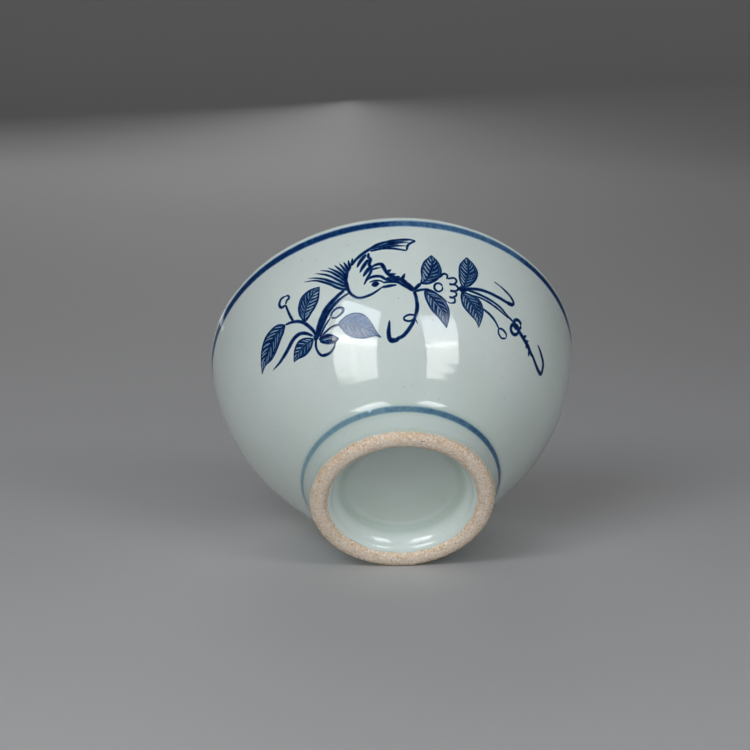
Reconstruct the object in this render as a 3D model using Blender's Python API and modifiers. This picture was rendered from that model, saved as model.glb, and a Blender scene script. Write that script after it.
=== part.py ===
"""A hand-painted porcelain teacup, standing on its foot ring.

The row frame has +Z up the cup's axis and its origin at the centre of the foot
ring's resting face. The painted side faces -Y. Every layer of the cup is its own
solid: fired clay, glaze coats, and the cobalt painting as thin patches of pigment.
"""

import bmesh
import bpy
import math
from mathutils import Vector
from mathutils.geometry import interpolate_bezier

MM = 0.001

# Cup, in metres
RIM_RADIUS = 45.0 * MM
HEIGHT = 51.2 * MM
LIP_RADIUS = 1.15 * MM
FOOT_HEIGHT = 7.6 * MM
FOOT_TOP_RADIUS = 23.0 * MM
FOOT_BOTTOM_RADIUS = 21.25 * MM
FOOT_INNER_RADIUS = 17.6 * MM
FOOT_EDGE = 0.9 * MM
FOOT_EDGE_BEND = 0.27 * MM
WELL_DEPTH = 6.5 * MM
WELL_FLOOR_RADIUS = 14.9 * MM
WELL_CORNER = 2.0 * MM
INSIDE_FLOOR = 10.9 * MM
SOCKET_RADIUS = 16.85 * MM

# Layers
GLAZE = 0.35 * MM
GAP = 0.1 * MM
BARE_EDGE = 1.4 * MM
PAINT_THICKNESS = 0.12 * MM
PAINT_LIFT = 0.08 * MM

# Wall curves: the angle they leave the foot and reach the rim at, and how strongly
FOOT_SLOPE = math.radians(53)
FOOT_PULL = 24.0 * MM
RIM_SLOPE = math.radians(82)
RIM_PULL = 18.0 * MM
INSIDE_RIM_PULL = 22.0 * MM
INSIDE_FLOOR_PULL = 28.0 * MM

# Painted bands
RIM_BAND_WIDTH = 2.0 * MM
RIM_BAND_BELOW_TOP = 2.7 * MM
FOOT_BAND_WIDTH = 1.4 * MM

# The painting is laid out flat: u runs round the wall from -Y towards +X, v up it
PAINT_RADIUS = 40.0 * MM

# How finely the surfaces are stepped. The last two are in the layout's millimetres
TURNS = 48
WALL_POINTS = 11
ARC_POINTS = 7
TABLE_POINTS = 120
MERGE_DISTANCE = 0.01 * MM
ROW_LENGTH = 1.6
WIDE_STROKE = 1.2


def clear_scene():
    for obj in list(bpy.data.objects):
        bpy.data.objects.remove(obj, do_unlink=True)


def make_collection(name):
    collection = bpy.data.collections.new(name)
    bpy.context.scene.collection.children.link(collection)
    return collection


def make_material(name, colour, roughness):
    material = bpy.data.materials.new(name)
    material.use_nodes = True
    shader = material.node_tree.nodes["Principled BSDF"]
    shader.inputs["Base Color"].default_value = (*colour, 1.0)
    shader.inputs["Roughness"].default_value = roughness
    shader.inputs["Metallic"].default_value = 0.0
    return material


def bezier(start, start_pull, end_pull, end, count):
    flat = [Vector((x, y, 0.0)) for x, y in (start, start_pull, end_pull, end)]
    return [(p.x, p.y) for p in interpolate_bezier(*flat, count)]


def polar(angle, length):
    return length * math.cos(angle), length * math.sin(angle)


def arc(centre, radius, first, last, count=ARC_POINTS):
    """Points on a circle of the profile's plane, between two angles in degrees."""
    points = []
    for i in range(count):
        angle = math.radians(first + (last - first) * i / (count - 1))
        x, z = polar(angle, radius)
        points.append((centre[0] + x, centre[1] + z))
    return points


def outside_wall(count=WALL_POINTS):
    """The glazed outside from the top of the foot up to where the lip starts."""
    start = (FOOT_TOP_RADIUS, FOOT_HEIGHT)
    end = (RIM_RADIUS, HEIGHT - LIP_RADIUS)
    rise = polar(FOOT_SLOPE, FOOT_PULL)
    fall = polar(RIM_SLOPE, RIM_PULL)
    start_pull = (start[0] + rise[0], start[1] + rise[1])
    end_pull = (end[0] - fall[0], end[1] - fall[1])
    return bezier(start, start_pull, end_pull, end, count)


def inside_wall():
    """The glazed inside from just under the lip down to the middle of the floor."""
    start = (RIM_RADIUS - 2 * LIP_RADIUS, HEIGHT - LIP_RADIUS)
    fall = polar(RIM_SLOPE, INSIDE_RIM_PULL)
    start_pull = (start[0] - fall[0], start[1] - fall[1])
    end_pull = (INSIDE_FLOOR_PULL, INSIDE_FLOOR)
    return bezier(start, start_pull, end_pull, (0.0, INSIDE_FLOOR), WALL_POINTS + 2)


def lip():
    centre = (RIM_RADIUS - LIP_RADIUS, HEIGHT - LIP_RADIUS)
    return arc(centre, LIP_RADIUS, 0, 180)


def foot_wall():
    lean = (FOOT_TOP_RADIUS - FOOT_BOTTOM_RADIUS) / FOOT_HEIGHT
    bottom = (FOOT_BOTTOM_RADIUS + lean * BARE_EDGE, BARE_EDGE)
    return [bottom, (FOOT_TOP_RADIUS, FOOT_HEIGHT)]


def well_skin():
    """The glazed recess under the cup, from the ring's inner edge to its middle."""
    corner = (WELL_FLOOR_RADIUS, WELL_DEPTH - WELL_CORNER)
    start = (FOOT_INNER_RADIUS, BARE_EDGE)
    return [start] + arc(corner, WELL_CORNER, 0, 90) + [(0.0, WELL_DEPTH)]


def offset(points, distance):
    """The same line moved to its left by distance, with mitred corners."""
    moved = []
    for i, point in enumerate(points):
        before = Vector(point) - Vector(points[i - 1]) if i else None
        after = Vector(points[i + 1]) - Vector(point) if i + 1 < len(points) else None
        normals = [Vector((-d.y, d.x)).normalized() for d in (before, after) if d is not None]
        middle = sum(normals, Vector((0.0, 0.0))).normalized()
        moved.append(tuple(Vector(point) + middle * (distance / middle.dot(normals[0]))))
    return moved


def on_axis(points):
    """The line with its last point put exactly on the cup's axis."""
    return points[:-1] + [(0.0, points[-1][1])]


def turned(name, outline, material, collection, ring=False):
    """A solid of revolution. An outline that isn't a ring starts and ends on the axis."""
    mesh = bpy.data.meshes.new(name)
    shape = bmesh.new()
    verts = [shape.verts.new((r, 0.0, z)) for r, z in outline]
    for first, second in zip(verts, verts[1:]):
        shape.edges.new((first, second))
    if ring:
        shape.edges.new((verts[-1], verts[0]))
    shape.to_mesh(mesh)
    shape.free()
    obj = bpy.data.objects.new(name, mesh)
    collection.objects.link(obj)
    mesh.materials.append(material)
    screw = obj.modifiers.new("turn", "SCREW")
    screw.steps = screw.render_steps = TURNS
    screw.use_merge_vertices = True
    screw.merge_threshold = MERGE_DISTANCE
    screw.use_smooth_shade = True
    return obj


def clay_line():
    """The clay's surface under the glaze: the outside wall, the lip and the inside."""
    skin = outside_wall() + lip()[1:] + inside_wall()[1:]
    return on_axis(offset(skin, GLAZE + GAP))


def bowl_body(material, collection):
    clay = clay_line()
    seat = clay[0][1]
    underside = [
        (0.0, WELL_DEPTH + GLAZE + GAP),
        (SOCKET_RADIUS, WELL_DEPTH + GLAZE + GAP),
        (SOCKET_RADIUS, seat),
    ]
    outline = list(reversed(clay)) + list(reversed(underside))
    turned("bowl_body", outline, material, collection)
    return seat


def foot_ring(material, collection, seat):
    """The trimmed ring: bare where it stands, and set back under the glaze above that."""
    outer = offset(foot_wall(), GLAZE + GAP)
    inner = offset(list(reversed(well_skin()[:2])), GLAZE + GAP)
    top = seat - GAP
    lean = (outer[1][0] - outer[0][0]) / (outer[1][1] - outer[0][1])
    outer_top = outer[0][0] + lean * (top - outer[0][1])
    inner_top = inner[0][0]
    outline = [
        (inner_top, top),
        (outer_top, top),
        (outer[0][0], BARE_EDGE - GAP),
        (foot_wall()[0][0], BARE_EDGE - GAP),
        (FOOT_BOTTOM_RADIUS, FOOT_EDGE),
        (FOOT_BOTTOM_RADIUS - FOOT_EDGE_BEND, FOOT_EDGE_BEND),
        (FOOT_BOTTOM_RADIUS - FOOT_EDGE, 0.0),
        (FOOT_INNER_RADIUS + FOOT_EDGE, 0.0),
        (FOOT_INNER_RADIUS + FOOT_EDGE_BEND, FOOT_EDGE_BEND),
        (FOOT_INNER_RADIUS, FOOT_EDGE),
        (FOOT_INNER_RADIUS, BARE_EDGE - GAP),
        (inner[1][0], BARE_EDGE - GAP),
    ]
    turned("foot_ring", outline, material, collection, ring=True)


def outer_glaze(material, collection):
    """One coat up the foot and the wall and over the lip, where it meets the inside."""
    skin = foot_wall() + outside_wall()[1:] + lip()[1:]
    back = offset(skin, GLAZE)
    turned("outer_glaze", list(reversed(skin)) + back, material, collection, ring=True)


def inner_glaze(material, collection):
    skin = inside_wall()
    start = (skin[0][0], skin[0][1] - GAP)
    skin = [start] + skin[1:]
    back = on_axis(offset(skin, GLAZE))
    turned("inner_glaze", list(reversed(skin)) + back, material, collection)


def foot_well_glaze(material, collection):
    skin = well_skin()
    back = on_axis(offset(skin, -GLAZE))
    turned("foot_well_glaze", list(reversed(back)) + skin, material, collection)


def band(name, line, material, collection):
    """A painted line round the cup, on the stretch of the outside that line gives."""
    under = offset(line, -PAINT_LIFT)
    over = offset(line, -PAINT_LIFT - PAINT_THICKNESS)
    turned(name, list(reversed(over)) + under, material, collection, ring=True)


def wall_by_height(height):
    """The outside radius at a height, read off the faceted wall."""
    line = outside_wall()
    for (r0, z0), (r1, z1) in zip(line, line[1:]):
        if height <= z1:
            return r0 + (r1 - r0) * (height - z0) / (z1 - z0)
    return line[-1][0]


def rim_line(material, collection):
    middle = HEIGHT - RIM_BAND_BELOW_TOP
    heights = [middle - RIM_BAND_WIDTH / 2, middle, middle + RIM_BAND_WIDTH / 2]
    line = [(wall_by_height(z), z) for z in heights]
    band("rim_line", line, material, collection)


def foot_line(material, collection):
    half = FOOT_BAND_WIDTH / 2
    lean = (FOOT_TOP_RADIUS - FOOT_BOTTOM_RADIUS) / FOOT_HEIGHT
    low = (FOOT_TOP_RADIUS - lean * half, FOOT_HEIGHT - half)
    high = (wall_by_height(FOOT_HEIGHT + half), FOOT_HEIGHT + half)
    band("foot_line", [low, (FOOT_TOP_RADIUS, FOOT_HEIGHT), high], material, collection)


def wall_table():
    """The outside wall as (length from the foot, radius, height), finely spaced."""
    line = outside_wall(count=TABLE_POINTS)
    table = [(0.0, *line[0])]
    for (r0, z0), (r1, z1) in zip(line, line[1:]):
        table.append((table[-1][0] + math.hypot(r1 - r0, z1 - z0), r1, z1))
    return table


def wrap(table, u, v, lift):
    """The point of the wall at u, v in metres on the flat layout, lifted off it."""
    low = max(i for i, row in enumerate(table[:-1]) if row[0] <= max(v, 0.0))
    (v0, r0, z0), (v1, r1, z1) = table[low], table[low + 1]
    share = (v - v0) / (v1 - v0)
    along = Vector((r1 - r0, z1 - z0)).normalized()
    radius = r0 + (r1 - r0) * share + lift * along.y
    height = z0 + (z1 - z0) * share - lift * along.x
    turn = u / PAINT_RADIUS
    return radius * math.sin(turn), -radius * math.cos(turn), height


def along_path(points, count):
    """Evenly numbered points on a smooth curve through the given ones."""
    ends = [2 * Vector(points[0]) - Vector(points[1])]
    tail = [2 * Vector(points[-1]) - Vector(points[-2])]
    path = ends + [Vector(p) for p in points] + tail
    spans = len(points) - 1
    result = []
    for i in range(count):
        place = spans * i / (count - 1)
        span = min(int(place), spans - 1)
        t = place - span
        a, b, c, d = path[span : span + 4]
        result.append(
            0.5 * (2 * b + (c - a) * t + (2 * a - 5 * b + 4 * c - d) * t * t
                   + (3 * b - a - 3 * c + d) * t ** 3)
        )
    return result


def leaf_width(share):
    """A leaf: blunt at its stalk, widest below the middle, pointed at the tip."""
    return max(0.12, math.sin(math.pi * share ** 0.8) ** 0.8)


def stroke_width(share):
    """A brush line: loaded at the start, lifted off at the end."""
    return 1.0 - 0.6 * share ** 2


def round_width(share):
    return max(0.3, math.sqrt(max(0.0, 1 - (2 * share - 1) ** 2)))


def patch(name, points, width, shape, layout):
    """A patch of pigment along a path on the wall, with one body and square sides."""
    table, material, collection = layout
    length = sum((Vector(b) - Vector(a)).length for a, b in zip(points, points[1:]))
    rows = max(6, round(length / ROW_LENGTH))
    across = 2 if width > WIDE_STROKE else 1
    path = along_path(points, rows + 1)
    shape_mesh = bmesh.new()
    bmesh.ops.create_grid(shape_mesh, x_segments=rows, y_segments=across, size=0.5)
    for vert in shape_mesh.verts:
        row = round((vert.co.x + 0.5) * rows)
        side = vert.co.y
        ahead = path[min(row + 1, rows)] - path[max(row - 1, 0)]
        normal = Vector((-ahead.y, ahead.x)).normalized()
        spot = path[row] + normal * side * width * shape(row / rows)
        vert.co = wrap(table, spot.x * MM, spot.y * MM, PAINT_LIFT)
    mesh = bpy.data.meshes.new(name)
    shape_mesh.to_mesh(mesh)
    shape_mesh.free()
    obj = bpy.data.objects.new(name, mesh)
    mesh.materials.append(material)
    collection.objects.link(obj)
    solid = obj.modifiers.new("thickness", "SOLIDIFY")
    solid.thickness = PAINT_THICKNESS
    solid.offset = 1.0


# Painted patches: name, path in millimetres on the flat layout, width, outline
LEAVES = [
    ("leaf_far_left", [(-27.0, 28.2), (-33.5, 26.8), (-39.8, 23.6)], 4.6),
    ("leaf_left_up", [(-21.6, 27.6), (-19.5, 31.0), (-15.8, 33.2)], 3.2),
    ("leaf_left_low", [(-21.8, 21.0), (-25.2, 21.4), (-28.8, 19.4)], 1.6),
    ("leaf_centre", [(-11.6, 23.6), (-7.5, 20.6), (-2.8, 17.4)], 4.6),
    ("leaf_middle_up", [(8.8, 30.6), (8.9, 34.5), (10.2, 37.9)], 3.4),
    ("leaf_middle_down", [(8.6, 27.4), (11.0, 23.5), (15.3, 20.7)], 3.8),
    ("leaf_right_up", [(17.9, 32.6), (18.4, 36.0), (18.3, 39.3)], 3.8),
    ("leaf_right_down", [(19.2, 28.6), (21.0, 25.2), (24.2, 22.9)], 4.0),
    ("pod_left", [(-19.2, 20.8), (-18.2, 19.2), (-15.6, 20.2)], 1.2),
]
STROKES = [
    ("branch_far_left", [(-26.2, 28.0), (-23.2, 25.0), (-20.8, 22.6)], 0.9),
    ("branch_left", [(-19.4, 22.4), (-15.4, 26.0), (-10.4, 29.6)], 1.2),
    ("blade_left", [(-22.2, 22.8), (-28.5, 24.6), (-36.0, 22.0)], 0.9),
    ("bud_stalk_left", [(-24.0, 28.4), (-24.6, 31.0), (-25.0, 33.0)], 0.5),
    ("thorn_twig", [(-2.4, 35.2), (0.6, 33.6), (3.0, 31.4), (6.0, 29.0)], 0.8),
    ("tendril", [(7.0, 27.6), (7.2, 22.0), (4.8, 17.6), (1.2, 16.6), (0.0, 20.6)], 0.8),
    ("stem_right", [(20.6, 30.2), (27.5, 30.0), (34.5, 28.0), (41.6, 25.2), (45.2, 24.4)], 0.9),
    ("stem_right_up", [(20.2, 31.6), (26.0, 31.9), (31.4, 32.8), (30.0, 35.6), (25.8, 36.2)], 0.8),
    ("bud_stalk_right", [(29.2, 28.4), (30.0, 27.0), (30.6, 25.6)], 0.5),
    ("hook_right", [(43.4, 28.6), (46.8, 27.4), (49.2, 24.6)], 0.9),
]
ROUNDS = [
    ("bird_body", [(-8.0, 34.6), (-5.8, 30.6), (-1.2, 29.4)], 4.4),
    ("bird_tail", [(-4.4, 37.2), (0.6, 40.4), (6.4, 41.4)], 2.4),
    ("bird_wing", [(-9.8, 32.4), (-12.6, 34.6), (-17.4, 36.6)], 5.2),
    ("blossom", [(11.4, 30.0), (13.4, 30.0), (16.0, 30.2)], 5.2),
    ("bud_left", [(-25.8, 34.4), (-25.0, 34.5), (-24.2, 34.6)], 1.4),
    ("bud_right", [(30.4, 24.9), (30.8, 24.3), (31.2, 23.5)], 1.5),
]


def painting(material, collection):
    layout = (wall_table(), material, collection)
    for group, shape in ((LEAVES, leaf_width), (STROKES, stroke_width), (ROUNDS, round_width)):
        for name, points, width in group:
            patch(name, points, width, shape, layout)


def main():
    clear_scene()
    cup = make_collection("teacup")
    clay = make_material("fired_clay", (0.58, 0.45, 0.35), 0.85)
    glaze = make_material("celadon_glaze", (0.60, 0.66, 0.60), 0.12)
    cobalt = make_material("cobalt_blue", (0.015, 0.035, 0.16), 0.2)
    seat = bowl_body(clay, cup)
    foot_ring(clay, cup, seat)
    outer_glaze(glaze, cup)
    inner_glaze(glaze, cup)
    foot_well_glaze(glaze, cup)
    rim_line(cobalt, cup)
    foot_line(cobalt, cup)
    painting(cobalt, cup)


main()
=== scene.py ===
import math

import bmesh
import bpy
import numpy as np
from mathutils import Matrix, Vector


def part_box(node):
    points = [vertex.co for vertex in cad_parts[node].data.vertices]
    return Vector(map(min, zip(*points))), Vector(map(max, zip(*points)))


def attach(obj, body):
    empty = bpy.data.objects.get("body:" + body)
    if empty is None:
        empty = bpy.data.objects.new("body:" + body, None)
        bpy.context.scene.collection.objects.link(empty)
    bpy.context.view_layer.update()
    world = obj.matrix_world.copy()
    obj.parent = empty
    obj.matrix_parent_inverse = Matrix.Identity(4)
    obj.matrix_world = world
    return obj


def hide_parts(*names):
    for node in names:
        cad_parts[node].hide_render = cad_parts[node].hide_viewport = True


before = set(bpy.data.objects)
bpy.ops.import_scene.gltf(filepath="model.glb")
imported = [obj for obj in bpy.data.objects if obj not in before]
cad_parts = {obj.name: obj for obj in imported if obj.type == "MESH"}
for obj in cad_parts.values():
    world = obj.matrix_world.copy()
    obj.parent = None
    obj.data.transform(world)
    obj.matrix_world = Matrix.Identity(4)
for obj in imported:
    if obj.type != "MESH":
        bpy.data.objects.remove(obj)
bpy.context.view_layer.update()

MM = 0.001

GLAZE = 0.35 * MM

# The cup, from the CAD nodes' boxes
RIM_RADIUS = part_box("outer_glaze")[1].x
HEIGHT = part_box("outer_glaze")[1].z
INSIDE_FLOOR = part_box("inner_glaze")[0].z + GLAZE

# The rest of its profile: the CAD's, with a rounder crest and a higher edge to the bare ring
LIP_RADIUS = 1.15 * MM
FOOT_HEIGHT = 7.6 * MM
FOOT_TOP_RADIUS = 23.0 * MM
FOOT_BOTTOM_RADIUS = 21.25 * MM
FOOT_INNER_RADIUS = 17.6 * MM
WELL_DEPTH = 6.5 * MM
BARE_EDGE = 1.55 * MM
CREST_HEIGHT = 1.35 * MM
FOOT_SLOPE, FOOT_PULL = math.radians(53), 24.0 * MM
RIM_SLOPE, RIM_PULL = math.radians(82), 18.0 * MM
INSIDE_RIM_PULL, INSIDE_FLOOR_PULL = 22.0 * MM, 28.0 * MM
PAINT_RADIUS = 40.0 * MM

# The photograph's viewpoint
VIEW_ELEVATION = math.radians(-46.7)
VIEW_ROLL = math.radians(-4.24)
VIEW_DISTANCE = 0.585
VIEW_CENTRE = 25.95 * MM
AIM_RIGHT, AIM_UP = -5.34 * MM, 12.77 * MM
LENS = 116.3
CONTACT_AZIMUTH = math.radians(-4.8)


# ---- shape helpers

def noise(points, size, seed=0):
    """Smooth noise from -1 to 1 at each point, with features about size long."""
    place = np.asarray(points, float) / size + 11.3 * (seed + 1)
    cell = np.floor(place).astype(np.int64)
    part = place - cell
    part = part * part * (3 - 2 * part)
    total = np.zeros(place.shape[:-1])
    for corner in np.ndindex(2, 2, 2):
        at = cell + np.array(corner)
        mix = at[..., 0] * 374761393 + at[..., 1] * 668265263 + at[..., 2] * 1440662683
        mix = (mix ^ (mix >> 13)) * 1274126177
        value = ((mix ^ (mix >> 16)) & 0xFFFF) / 32767.5 - 1
        weight = np.prod(np.where(np.array(corner) == 1, part, 1 - part), axis=-1)
        total += weight * value
    return total


def ring_noise(angle, size, seed=0):
    """The same round a circle: angle in radians, size in radians."""
    angle = np.asarray(angle, float)
    circle = np.stack([np.cos(angle), np.sin(angle), 0 * angle], axis=-1)
    return noise(circle, size, seed)


def ease(value, low, high):
    share = np.clip((np.asarray(value, float) - low) / (high - low), 0, 1)
    return share * share * (3 - 2 * share)


def bezier(start, pull, push, end, count):
    t = np.linspace(0, 1, count)[:, None]
    a, b, c, d = (np.array(p, float) for p in (start, pull, push, end))
    return (1 - t) ** 3 * a + 3 * t * (1 - t) ** 2 * b + 3 * t * t * (1 - t) * c + t ** 3 * d


def arc(centre, radius, first, last, count):
    angle = np.radians(np.linspace(first, last, count))
    return np.stack([centre[0] + radius * np.cos(angle), centre[1] + radius * np.sin(angle)], 1)


class Line:
    """A profile in the r, z plane that can be read by the length along it.

    A fillet rounds every corner, or only the one at zero_at where that is given.
    """

    def __init__(self, points, zero_at=None, fillet=0.0):
        keep = np.r_[True, np.hypot(*np.diff(points, axis=0).T) > 1e-9]
        points = points[keep]
        length = np.r_[0, np.cumsum(np.hypot(*np.diff(points, axis=0).T))]
        even = np.linspace(0, length[-1], 4000)
        fine = np.stack([np.interp(even, length, points[:, i]) for i in (0, 1)], 1)
        raw = fine
        if fillet:
            step = even[1]
            half = max(1, int(fillet / 2 / step))
            padded = np.concatenate([
                2 * fine[0] - fine[half:0:-1], fine, 2 * fine[-1] - fine[-2:-half - 2:-1]])
            kernel = np.ones(2 * half + 1) / (2 * half + 1)
            fine = np.stack([np.convolve(padded[:, i], kernel, "valid") for i in (0, 1)], 1)
        self.s = even
        if zero_at is not None:
            self.s = even - even[np.argmin(np.hypot(*(raw - np.array(zero_at)).T))]
            far = ease(np.abs(self.s), 0.55 * fillet, 0.9 * fillet)[:, None]
            fine = fine * (1 - far) + raw * far
        self.points = fine
        along = np.gradient(fine, axis=0)
        along /= np.hypot(*along.T)[:, None]
        self.normals = np.stack([along[:, 1], -along[:, 0]], 1)

    def at(self, s, lift):
        """(r, z) at length s, lifted to the right of the direction of travel."""
        r, z, nr, nz = (
            np.interp(s, self.s, column)
            for column in (*self.points.T, *self.normals.T))
        return r + nr * lift, z + nz * lift


def turned(r, z, angle):
    return np.stack(np.broadcast_arrays(r * np.sin(angle), -r * np.cos(angle), z), -1)


def outside_line():
    """Up the foot from its glaze edge, up the wall and over the lip."""
    end = (RIM_RADIUS, HEIGHT - LIP_RADIUS)
    start = (FOOT_TOP_RADIUS, FOOT_HEIGHT)
    pull = (start[0] + FOOT_PULL * math.cos(FOOT_SLOPE), start[1] + FOOT_PULL * math.sin(FOOT_SLOPE))
    push = (end[0] - RIM_PULL * math.cos(RIM_SLOPE), end[1] - RIM_PULL * math.sin(RIM_SLOPE))
    wall = bezier(start, pull, push, end, 600)
    lip = arc((end[0] - LIP_RADIUS, end[1]), LIP_RADIUS, 0, 180, 60)
    lean = (FOOT_TOP_RADIUS - FOOT_BOTTOM_RADIUS) / FOOT_HEIGHT
    foot = np.array([(FOOT_BOTTOM_RADIUS + lean * z, z) for z in (0.3 * MM, FOOT_HEIGHT)])
    return Line(np.concatenate([foot, wall[1:], lip[1:]]), zero_at=start, fillet=5.0 * MM)


def inside_line():
    """Down the inside from the lip to the middle of the floor."""
    start = (RIM_RADIUS - 2 * LIP_RADIUS, HEIGHT - LIP_RADIUS)
    pull = (start[0] - INSIDE_RIM_PULL * math.cos(RIM_SLOPE),
            start[1] - INSIDE_RIM_PULL * math.sin(RIM_SLOPE))
    return Line(bezier(start, pull, (INSIDE_FLOOR_PULL, INSIDE_FLOOR), (0, INSIDE_FLOOR), 800))


def well_line():
    """The recess under the cup, from inside the ring's edge up its flared side to its middle."""
    side = [(17.66, 0.85), (17.2, 1.4), (16.8, 2.0), (16.6, 2.4), (16.54, 2.85), (16.1, 3.6), (15.72, 4.15),
            (14.95, 5.1), (13.9, 5.9), (12.4, 6.4), (10.5, 6.5), (0, 6.5)]
    return Line(np.array(side) * MM, fillet=0.7 * MM)


OUTSIDE, INSIDE, WELL = outside_line(), inside_line(), well_line()
LIP_START = float(OUTSIDE.s[-1]) - math.pi * LIP_RADIUS


def bend(angle, share):
    """How far the wall stands out of round, which grows with the share of its height."""
    return (0.20 * np.cos(2 * angle - 0.9) + 0.09 * np.cos(3 * angle - 2.3)) * MM * share ** 2


def relief(angle, s):
    """How far throwing rings and slight swells stand off the outside's profile."""
    share = np.clip(s / LIP_START, 0, 1)
    swing = 0.7 * np.sin(angle + 0.4)
    rings = 0.0010 * np.sin(s / MM * 2.6 + swing) + 0.0040 * np.sin(s / MM * 0.83 + 1.3 + swing)
    soft = 0.02 * ring_noise(angle + s / (60 * MM), 0.5, 3) * ease(share, 0.05, 0.3)
    return (rings * ease(share, 0.02, 0.12) * (1 - ease(share, 0.93, 1)) + soft) * MM


def gathered(s):
    """How thick the glaze lies at a length up the outside: most where the foot meets the wall."""
    return 0.75 * np.exp(-(s / (1.3 * MM)) ** 2) + 0.28 * (1 - ease(s, 0, 22 * MM))


def on_wall(angle, s, lift=0.0):
    """Points of the outside at an angle from -Y towards +X and a length up from the foot."""
    r, z = OUTSIDE.at(s, relief(angle, s) + lift)
    return turned(r + bend(angle, np.clip(s / LIP_START, 0, 1)), z, angle)


def make_object(name, points, faces, material, nodes, values=None, sharp=None):
    """One closed piece from points and faces, riding the cup and standing for CAD nodes."""
    mesh = bpy.data.meshes.new(name)
    mesh.from_pydata(np.asarray(points, float).tolist(), [], faces)
    shape = bmesh.new()
    shape.from_mesh(mesh)
    bmesh.ops.recalc_face_normals(shape, faces=shape.faces)
    shape.to_mesh(mesh)
    shape.free()
    mesh.shade_smooth()
    if sharp:
        mesh.set_sharp_from_angle(angle=math.radians(sharp))
    for key, numbers in (values or {}).items():
        attribute = mesh.attributes.new(key, "FLOAT", "POINT")
        attribute.data.foreach_set("value", np.asarray(numbers, np.float32).ravel())
    mesh.materials.append(material)
    obj = bpy.data.objects.new(name, mesh)
    bpy.context.scene.collection.objects.link(obj)
    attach(obj, "root")
    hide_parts(*nodes)
    return obj


def ring_faces(rows, columns):
    """Quads over rows of points round the axis, with the last row joined to the first."""
    faces = []
    for i in range(rows):
        a, b = i * columns, (i + 1) % rows * columns
        for j in range(columns):
            k = (j + 1) % columns
            faces.append((a + j, a + k, b + k, b + j))
    return faces


def dished_faces(rows, columns, turn):
    """Faces of a coat that closes at the axis: turn front rows, the back rows, two middles."""
    faces = [face for face in ring_faces(rows, columns) if face[0] // columns != turn - 1]
    a, b, middle = (turn - 1) * columns, turn * columns, rows * columns
    for j in range(columns):
        k = (j + 1) % columns
        faces.append((a + j, a + k, middle))
        faces.append((b + k, b + j, middle + 1))
    return faces


def sheet_faces(rows, columns):
    """Quads over an open sheet of rows x columns of points."""
    corners = [i * columns + j for i in range(rows - 1) for j in range(columns - 1)]
    return [(a, a + 1, a + columns + 1, a + columns) for a in corners]


# ---- materials

def new_material(name):
    material = bpy.data.materials.new(name)
    material.use_nodes = True
    tree = material.node_tree
    return material, tree, tree.nodes["Principled BSDF"]


def noise_node(tree, size, detail=3.0, roughness=0.55):
    """A noise texture in the object's own space, with features about size long."""
    place = tree.nodes.new("ShaderNodeTexCoord")
    node = tree.nodes.new("ShaderNodeTexNoise")
    node.inputs["Scale"].default_value = 1 / size
    node.inputs["Detail"].default_value = detail
    node.inputs["Roughness"].default_value = roughness
    tree.links.new(place.outputs["Object"], node.inputs["Vector"])
    return node.outputs["Fac"]


def ramp(tree, value, stops):
    node = tree.nodes.new("ShaderNodeValToRGB")
    band = node.color_ramp
    while len(band.elements) < len(stops):
        band.elements.new(0.5)
    for element, (place, colour) in zip(band.elements, stops):
        element.position = place
        element.color = (*colour, 1.0)
    tree.links.new(value, node.inputs["Fac"])
    return node.outputs["Color"]


def span(tree, value, low, high, to_low=0.0, to_high=1.0):
    """value from low..high to to_low..to_high, clamped."""
    node = tree.nodes.new("ShaderNodeMapRange")
    for key, number in (("From Min", low), ("From Max", high), ("To Min", to_low), ("To Max", to_high)):
        node.inputs[key].default_value = number
    tree.links.new(value, node.inputs["Value"])
    return node.outputs["Result"]


def math_node(tree, kind, first, second):
    node = tree.nodes.new("ShaderNodeMath")
    node.operation = kind
    for socket, value in zip(node.inputs, (first, second)):
        if isinstance(value, (int, float)):
            socket.default_value = value
        else:
            tree.links.new(value, socket)
    return node.outputs["Value"]


def mix(tree, share, first, second, kind="MIX"):
    node = tree.nodes.new("ShaderNodeMix")
    node.data_type = "RGBA"
    node.blend_type = kind
    sockets = {s.identifier: s for s in node.inputs}
    for key, value in (("Factor_Float", share), ("A_Color", first), ("B_Color", second)):
        socket = sockets[key]
        if isinstance(value, (int, float)):
            socket.default_value = value
        elif isinstance(value, tuple):
            socket.default_value = (*value, 1.0)
        else:
            tree.links.new(value, socket)
    return next(s for s in node.outputs if s.identifier == "Result_Color")


def attribute(tree, name, output="Fac"):
    node = tree.nodes.new("ShaderNodeAttribute")
    node.attribute_name = name
    return node.outputs[output]


def bump(tree, shader, height, distance, strength, before=None):
    node = tree.nodes.new("ShaderNodeBump")
    node.inputs["Distance"].default_value = distance
    node.inputs["Strength"].default_value = strength
    tree.links.new(height, node.inputs["Height"])
    if before is not None:
        tree.links.new(before, node.inputs["Normal"])
    tree.links.new(node.outputs["Normal"], shader.inputs["Normal"])
    return node.outputs["Normal"]


POOLED = (0.450, 0.560, 0.500)


def glaze_colour(tree):
    """Pale celadon, clouded, greener where it lies thick."""
    cloud = noise_node(tree, 14 * MM, 3.0)
    fine = noise_node(tree, 1.6 * MM, 4.0)
    base = ramp(tree, cloud, [(0.3, (0.650, 0.735, 0.695)), (0.7, (0.700, 0.770, 0.735))])
    base = mix(tree, span(tree, fine, 0.35, 0.75, 0.0, 0.22), base, (0.615, 0.700, 0.655))
    return mix(tree, attribute(tree, "pool"), base, POOLED)


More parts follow.
